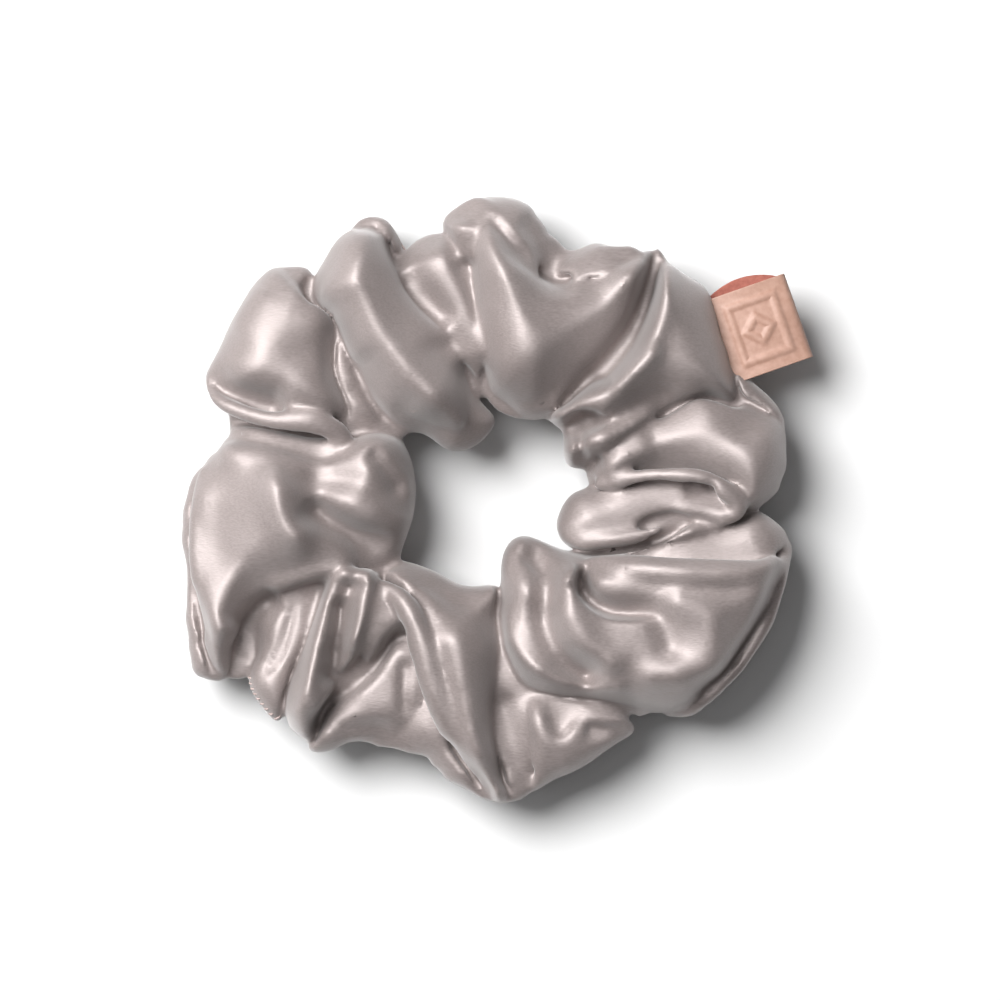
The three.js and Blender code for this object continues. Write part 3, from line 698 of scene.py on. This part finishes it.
def settled(vertices, quads):
    """The shape after it settles as cloth that is a little too large for it, held softly in place."""
    big = vertices * MM * CLOTH_SCALE
    work = mesh_object("work_cloth", big, quads.tolist(), bpy.data.materials.new("work"))
    hold = work.vertex_groups.new(name="hold")
    hold.add(list(range(len(vertices))), CLOTH_HOLD, "REPLACE")
    modifier = work.modifiers.new("cloth", "CLOTH")
    cloth = modifier.settings
    cloth.quality = 5
    cloth.mass = 0.15
    cloth.tension_stiffness = 25
    cloth.compression_stiffness = 25
    cloth.shear_stiffness = 8
    cloth.bending_stiffness = 12
    cloth.tension_damping = 8
    cloth.compression_damping = 8
    cloth.shear_damping = 8
    cloth.bending_damping = 1
    cloth.air_damping = 3
    cloth.shrink_min = -0.04
    cloth.vertex_group_mass = "hold"
    cloth.pin_stiffness = 1.0
    cloth.use_pressure = True
    cloth.uniform_pressure_force = 0.4
    cloth.effector_weights.gravity = 0
    modifier.point_cache.frame_start = 1
    modifier.point_cache.frame_end = CLOTH_FRAMES
    scene = bpy.context.scene
    for frame_number in range(1, CLOTH_FRAMES + 1):
        scene.frame_set(frame_number)
    seen = work.evaluated_get(bpy.context.evaluated_depsgraph_get())
    out = np.empty(len(big) * 3)
    seen.data.vertices.foreach_get("co", out)
    scene.frame_set(1)
    bpy.data.objects.remove(work)
    return out.reshape(-1, 3) / CLOTH_SCALE / MM


def slackened(vertices, fine_quads):
    """Moves the fine surface as a coarser one moved when it settled as cloth."""
    coarse, quads = surface_nets(cover_field(CLOTH_STEP), LOW, CLOTH_STEP)
    coarse = relax(coarse, quads, 2, 0.35)
    move = relax(settled(coarse, quads) - coarse, quads, MOVE_ROUNDS, 0.5) * MOVE_GAIN
    length = np.linalg.norm(move, axis=1)[:, None]
    move *= np.minimum(1, MOVE_CAP / np.maximum(length, 1e-6))
    tree = KDTree(len(coarse))
    for i, point in enumerate(coarse):
        tree.insert(point, i)
    tree.balance()
    out = np.zeros_like(vertices)
    for i, point in enumerate(vertices):
        near = tree.find_n(point, NEAR_COUNT)
        weights = [1 / (distance + 0.2) ** 2 for _, _, distance in near]
        total = sum(weights)
        out[i] = sum(w / total * move[k] for w, (_, k, _) in zip(weights, near))
    return vertices + relax(out, fine_quads, SHARED_ROUNDS, 0.5)


def placed(vertices):
    """Ring millimetres to the frame's metres."""
    return vertices * MM + np.array([CENTRE_X, CENTRE_Y, 0])


# ---------------------------------------------------------------- materials


def satin_material():
    """Satin: a soft metallic sheen, a fine diagonal grain, and colour and gloss that drift a little."""
    material = bpy.data.materials.new("satin")
    material.use_nodes = True
    nodes = material.node_tree.nodes
    links = material.node_tree.links
    shader = nodes["Principled BSDF"]
    shader.inputs["Metallic"].default_value = 0.37
    shader.inputs["Sheen Weight"].default_value = 0.3
    shader.inputs["Sheen Roughness"].default_value = 0.45
    shader.inputs["Specular IOR Level"].default_value = 1.0
    shader.inputs["Anisotropic"].default_value = 0.4
    tangent = nodes.new("ShaderNodeTangent")
    tangent.direction_type = "RADIAL"
    tangent.axis = "Z"
    links.new(tangent.outputs["Tangent"], shader.inputs["Tangent"])
    coords = nodes.new("ShaderNodeTexCoord")
    # threads: noise drawn out along one diagonal
    turn = nodes.new("ShaderNodeMapping")
    turn.inputs["Rotation"].default_value = (0, 0.5, math.radians(38))
    turn.inputs["Scale"].default_value = (900, 3600, 2400)
    links.new(coords.outputs["Object"], turn.inputs["Vector"])
    grain = nodes.new("ShaderNodeTexNoise")
    grain.inputs["Scale"].default_value = 1
    grain.inputs["Detail"].default_value = 3
    links.new(turn.outputs["Vector"], grain.inputs["Vector"])
    drift = nodes.new("ShaderNodeTexNoise")
    drift.inputs["Scale"].default_value = 90
    drift.inputs["Detail"].default_value = 3
    links.new(coords.outputs["Object"], drift.inputs["Vector"])
    both = nodes.new("ShaderNodeMath")
    both.operation = "MULTIPLY_ADD"
    both.inputs[1].default_value = 0.65
    links.new(grain.outputs["Fac"], both.inputs[0])
    part = nodes.new("ShaderNodeMath")
    part.operation = "MULTIPLY"
    part.inputs[1].default_value = 0.35
    links.new(drift.outputs["Fac"], part.inputs[0])
    links.new(part.outputs[0], both.inputs[2])
    colour = nodes.new("ShaderNodeValToRGB")
    colour.color_ramp.elements[0].position = 0.3
    colour.color_ramp.elements[0].color = (0.188, 0.156, 0.148, 1)
    colour.color_ramp.elements[1].position = 0.7
    colour.color_ramp.elements[1].color = (0.262, 0.223, 0.215, 1)
    links.new(both.outputs[0], colour.inputs["Fac"])
    links.new(colour.outputs["Color"], shader.inputs["Base Color"])
    gloss = nodes.new("ShaderNodeMapRange")
    gloss.inputs["From Min"].default_value = 0.3
    gloss.inputs["From Max"].default_value = 0.7
    gloss.inputs["To Min"].default_value = 0.5
    gloss.inputs["To Max"].default_value = 0.6
    links.new(both.outputs[0], gloss.inputs["Value"])
    links.new(gloss.outputs["Result"], shader.inputs["Roughness"])
    bump = nodes.new("ShaderNodeBump")
    bump.inputs["Strength"].default_value = 0.35
    bump.inputs["Distance"].default_value = 0.00012
    links.new(grain.outputs["Fac"], bump.inputs["Height"])
    links.new(bump.outputs["Normal"], shader.inputs["Normal"])
    return material


def satin_cover():
    """The gathered cover, and its surface in ring millimetres for the seams to be laid on."""
    vertices, quads = surface_nets(cover_field(FINE_STEP), LOW, FINE_STEP)
    vertices = relax(vertices, quads, 4, 0.4)
    vertices = slackened(vertices, quads)
    skin = BVHTree.FromPolygons(vertices.tolist(), quads.tolist())
    cover = mesh_object("satin_cover", placed(vertices), quads.tolist(), satin_material())
    thinned = cover.modifiers.new("thinned", "DECIMATE")
    thinned.ratio = min(1, COVER_TRIANGLES / (2 * len(quads)))
    thick = cover.modifiers.new("thick", "SOLIDIFY")
    thick.thickness = SATIN_THICKNESS
    thick.offset = -1
    apply_modifiers(cover)
    return cover, skin


def apply_modifiers(obj):
    """Puts the modifiers' result into the mesh."""
    seen = obj.evaluated_get(bpy.context.evaluated_depsgraph_get())
    mesh = bpy.data.meshes.new_from_object(seen)
    obj.modifiers.clear()
    obj.data = mesh
    mesh.shade_smooth()


def rough_material(name, colour, dark, scale, roughness, bump_height):
    """A matte, grainy material: colour drifting towards a darker one, and a fine bump."""
    material = bpy.data.materials.new(name)
    material.use_nodes = True
    nodes = material.node_tree.nodes
    links = material.node_tree.links
    shader = nodes["Principled BSDF"]
    shader.inputs["Roughness"].default_value = roughness
    coords = nodes.new("ShaderNodeTexCoord")
    noise = nodes.new("ShaderNodeTexNoise")
    noise.inputs["Scale"].default_value = scale
    noise.inputs["Detail"].default_value = 5
    links.new(coords.outputs["Object"], noise.inputs["Vector"])
    ramp = nodes.new("ShaderNodeValToRGB")
    ramp.color_ramp.elements[0].position = 0.3
    ramp.color_ramp.elements[0].color = (*dark, 1)
    ramp.color_ramp.elements[1].position = 0.65
    ramp.color_ramp.elements[1].color = (*colour, 1)
    links.new(noise.outputs["Fac"], ramp.inputs["Fac"])
    links.new(ramp.outputs["Color"], shader.inputs["Base Color"])
    bump = nodes.new("ShaderNodeBump")
    bump.inputs["Strength"].default_value = 0.5
    bump.inputs["Distance"].default_value = bump_height
    links.new(noise.outputs["Fac"], bump.inputs["Height"])
    links.new(bump.outputs["Normal"], shader.inputs["Normal"])
    return material


# ---------------------------------------------------------------- the label

LABEL_ROOT = np.array([42.8, 28.7, 15.0])
LABEL_ANGLE = math.radians(19.2)
LABEL_LENGTH = 14.4
LABEL_WIDTH = 16.0
LABEL_TAB = 6.0
# half the height of the folded label
LABEL_HALF = 1.0
# how far the label bulges between its root and its fold, droops at the fold, and waves across
LABEL_BELLY = 0.45
LABEL_DROOP = 0.9
LABEL_WAVE = 0.25
# how far the lower layer lies to one side
LABEL_ASKEW = 1.9
LABEL_ROWS = 65
# in metres
BEVEL_WIDTH = 0.00012

FRAME_HALF_LENGTH = 4.3
FRAME_HALF_WIDTH = 5.2
DIAMOND_HALF = 2.3
EMBOSS_HEIGHT = 0.36
EMBOSS_LINE = 0.55


def label_frame(x, w, z):
    """From label millimetres (out, along the root, up) to the ring's."""
    c, d = math.cos(LABEL_ANGLE), math.sin(LABEL_ANGLE)
    root = LABEL_ROOT
    return np.stack([root[0] + x * c - w * d, root[1] + x * d + w * c, root[2] + z], axis=-1)


def embossed(x, w):
    """A plain raised frame with a small diamond in it."""
    u = np.abs(x - LABEL_LENGTH * 0.5)
    v = np.abs(w)
    border = np.abs(np.maximum(u - FRAME_HALF_LENGTH, v - FRAME_HALF_WIDTH))
    diamond = np.abs(u + v - DIAMOND_HALF)
    line = np.minimum(border, diamond * 0.7)
    return EMBOSS_HEIGHT * np.exp(-((line / EMBOSS_LINE) ** 2))


def label_skin(name, inset, thickness, material):
    """One layer of the folded label, from the seam out round the fold and back."""
    half = LABEL_HALF - inset
    straight = LABEL_LENGTH - LABEL_HALF
    run = np.arange(-LABEL_TAB, straight + 0.01, 0.25)
    turn = np.radians(np.linspace(-90, 90, 9))[1:-1]
    x = np.concatenate([run, straight + half * np.cos(turn), run[::-1]])
    side = np.concatenate([-np.ones(len(run)), np.sin(turn), np.ones(len(run))])
    out = np.clip(x / straight, 0, 1)
    w = np.linspace(-LABEL_WIDTH / 2, LABEL_WIDTH / 2, LABEL_ROWS)
    x2, w2 = np.meshgrid(x, w, indexing="ij")
    side2 = np.broadcast_to(side[:, None], x2.shape)
    out2 = np.broadcast_to(out[:, None], x2.shape)
    belly = np.sin(np.pi * out2)
    z = side2 * (half + LABEL_BELLY * belly) - LABEL_DROOP * out2**2
    z = z + LABEL_WAVE * np.sin(w2 * 0.42 + 1) * out2
    if inset == 0:
        z = z + np.where(side2 > 0.9, embossed(x2, w2), 0)
    # the lower layer lies a little askew, so its inner side shows along one edge
    askew = np.where(side2 < 0, LABEL_ASKEW * belly**0.8, 0.0)
    points = label_frame(x2, w2 + askew, z).reshape(-1, 3)
    n, m = x2.shape
    i, j = np.meshgrid(np.arange(n - 1), np.arange(m - 1), indexing="ij")
    a = (i * m + j).ravel()
    quads = np.stack([a, a + m, a + m + 1, a + 1], axis=1)
    skin = mesh_object(name, placed(points), quads.tolist(), material)
    thick = skin.modifiers.new("thick", "SOLIDIFY")
    thick.thickness = thickness * MM
    thick.offset = -1
    bevel = skin.modifiers.new("rounded", "BEVEL")
    bevel.width = BEVEL_WIDTH
    bevel.segments = 2
    bevel.limit_method = "ANGLE"
    apply_modifiers(skin)
    return skin


def tube(name, lines, radius, material, sides=8):
    """Round threads along several lines of points, as one mesh with closed ends."""
    vertices = []
    faces = []
    for line in lines:
        p = np.array(line, float)
        forward = np.gradient(p, axis=0)
        forward /= np.linalg.norm(forward, axis=1)[:, None]
        helper = (0.0, 0.0, 1.0) if abs(forward[0, 2]) < 0.8 else (1.0, 0.0, 0.0)
        across = np.cross(forward, np.array(helper))
        across /= np.maximum(np.linalg.norm(across, axis=1), 1e-9)[:, None]
        up = np.cross(across, forward)
        start = len(vertices)
        for k in range(len(p)):
            r = radius * (0.55 if k in (0, len(p) - 1) else 1)
            for q in range(sides):
                t = 2 * math.pi * q / sides
                vertices.append(p[k] + r * (math.cos(t) * across[k] + math.sin(t) * up[k]))
        for k in range(len(p) - 1):
            for q in range(sides):
                a = start + k * sides + q
                b = start + k * sides + (q + 1) % sides
                faces.append([a, b, b + sides, a + sides])
        faces.append([start + q for q in range(sides)][::-1])
        faces.append([start + (len(p) - 1) * sides + q for q in range(sides)])
    return mesh_object(name, placed(np.array(vertices)), faces, material)


# ---------------------------------------------------------------- the elastic and its tacks

ELASTIC_RADIUS = 25.0
ELASTIC_WIDTH = 6.0
ELASTIC_THICKNESS = 0.9
# degrees of overlap where the ends are sewn together
ELASTIC_OVERLAP = 24.0
ELASTIC_STEPS = 300
ELASTIC_ROWS = 24
RIB_COUNT = 8
RIB_HEIGHT = 0.07
TACK_ANGLES = (174, 180, 186)


def elastic_loop(material):
    """A ribbed woven strip rolled into a ring, its ends overlapping on the left."""
    outside = [(k / ELASTIC_ROWS - 0.5, 0.5) for k in range(ELASTIC_ROWS + 1)]
    inside = [(0.5 - k / ELASTIC_ROWS, -0.5) for k in range(ELASTIC_ROWS + 1)]
    section = outside + inside
    rows = []
    turn = 360 + ELASTIC_OVERLAP
    for i in range(ELASTIC_STEPS + 1):
        swept = turn * i / ELASTIC_STEPS
        angle = math.radians(180 - ELASTIC_OVERLAP / 2 + swept)
        middle = ELASTIC_RADIUS + (ELASTIC_THICKNESS + 0.15) * (swept / 360 - 0.53)
        for k, (height, side) in enumerate(section):
            rib = RIB_HEIGHT * math.cos(2 * math.pi * height * RIB_COUNT) * math.cos(math.pi * i / 2)
            radius = middle + side * ELASTIC_THICKNESS + math.copysign(rib, side)
            z = MIDDLE_Z + height * ELASTIC_WIDTH
            rows.append((radius * math.cos(angle), radius * math.sin(angle), z))
    m = len(section)
    faces = []
    for i in range(ELASTIC_STEPS):
        for k in range(m):
            a = i * m + k
            b = i * m + (k + 1) % m
            faces.append([a, a + m, b + m, b])
    faces.append(list(range(m)))
    faces.append([ELASTIC_STEPS * m + k for k in range(m)][::-1])
    return mesh_object("elastic_loop", placed(np.array(rows)), faces, material)


def elastic_tack(name, at, material):
    """A zigzag bar tack over the inner face of the overlap."""
    line = []
    inner = ELASTIC_RADIUS - ELASTIC_THICKNESS - 0.75
    for k in range(13):
        angle = math.radians(at + (0.9 if k % 2 else -0.9))
        line.append((inner * math.cos(angle), inner * math.sin(angle), MIDDLE_Z - 2.4 + 0.4 * k))
    return tube(name, [line], 0.16, material)


# ---------------------------------------------------------------- seams

SEAM_STITCHES = 118
SEAM_DEPTH = 1.3
WHIP_STITCHES = 9
LABEL_STITCH_COUNT = 8


def outer_skin(skin, angle, height):
    """Where a level line from outside, at an angle round the ring, meets the cover."""
    d = Vector((math.cos(angle), math.sin(angle), 0))
    hit = skin.ray_cast(d * 90 + Vector((0, 0, height)), -d)
    return hit[0]


def long_seam(skin, material):
    """A running stitch just under the cover's outer edge."""
    lines = []
    for i in range(SEAM_STITCHES):
        points = []
        for t in (0.0, 0.3, 0.7, 1.0):
            angle = 2 * math.pi * (i + 0.75 * t) / SEAM_STITCHES
            hit = outer_skin(skin, angle, MIDDLE_Z)
            reach = hit.xy.length - SEAM_DEPTH - 0.15 * math.sin(math.pi * t)
            points.append((reach * math.cos(angle), reach * math.sin(angle), MIDDLE_Z))
        lines.append(points)
    return tube("long_seam_thread", lines, 0.2, material, 6)


def closing_seam(skin, material):
    """Small whip stitches where the tube's two ends meet, at the lower left."""
    lines = []
    for i in range(WHIP_STITCHES):
        t = i / (WHIP_STITCHES - 1)
        middle = np.array([-43.0 + 5.4 * t, -32.4 - 6.8 * t + 0.6 * math.sin(math.pi * t)])
        outward = middle / np.linalg.norm(middle)
        along = np.array([-outward[1], outward[0]])
        points = []
        for k in (-1.0, -0.5, 0.0, 0.5, 1.0):
            start = np.append(middle + outward * 12 + along * (0.25 * k), 27 + 0.9 * k)
            way = np.append(-outward, -1.0)
            hit = skin.ray_cast(Vector(start), Vector(way))
            if hit[0] is None:
                continue
            # the ends dip into the cloth
            lift = 0.12 if abs(k) < 0.9 else -0.1
            points.append(np.array(hit[0]) + np.array(hit[1]) * lift)
        if len(points) > 2:
            lines.append(points)
    return tube("closing_seam_thread_whip", lines, 0.19, material, 6)


def label_stitches(material):
    """The row of stitches that holds the label's ends inside the seam."""
    lines = []
    arch = ((-0.7, 0.9), (-0.55, 1.35), (0.55, 1.35), (0.7, 0.9))
    for i in range(LABEL_STITCH_COUNT):
        w = -6.6 + 13.2 * i / (LABEL_STITCH_COUNT - 1)
        lines.append([label_frame(np.array(-3.5), np.array(w + dw), np.array(dz)) for dw, dz in arch])
    return tube("label_stitches", lines, 0.18, material, 6)


# ---------------------------------------------------------------- the pieces, and what they stand for

cover, skin = satin_cover()
thread = rough_material("thread", (0.42, 0.34, 0.32), (0.26, 0.2, 0.185), 2500, 0.55, 0.00004)
elastic_stuff = rough_material("elastic", (0.09, 0.075, 0.07), (0.04, 0.033, 0.03), 1800, 0.8, 0.00006)
face = rough_material("label_face", (0.345, 0.208, 0.16), (0.285, 0.162, 0.118), 900, 0.55, 0.00006)
lining = rough_material("label_lining", (0.27, 0.08, 0.055), (0.2, 0.05, 0.033), 1200, 0.7, 0.00005)

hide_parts("cover_left", "cover_right")
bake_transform(cover)

elastic = elastic_loop(elastic_stuff)
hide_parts("elastic_band")
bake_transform(elastic)

for i, at in enumerate(TACK_ANGLES):
    tack = elastic_tack(f"elastic_tack_{i + 1}", at, thread)
    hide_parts(f"elastic_join_stitch_{i + 1}")
    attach(tack, "left_half")

seam = long_seam(skin, thread)
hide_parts("long_seam_left", "long_seam_right")
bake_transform(seam)

whip = closing_seam(skin, thread)
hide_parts("closing_seam_thread")
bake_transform(whip)

loop = label_skin("label_loop", 0, 0.5, face)
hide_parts("label_face", "label_root_tab")
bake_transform(loop)
backing = label_skin("label_backing", 0.52, 0.25, lining)
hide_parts("label_lining")
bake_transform(backing)
sewn = label_stitches(thread)
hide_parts("label_stitch")
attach(sewn, "right_half")
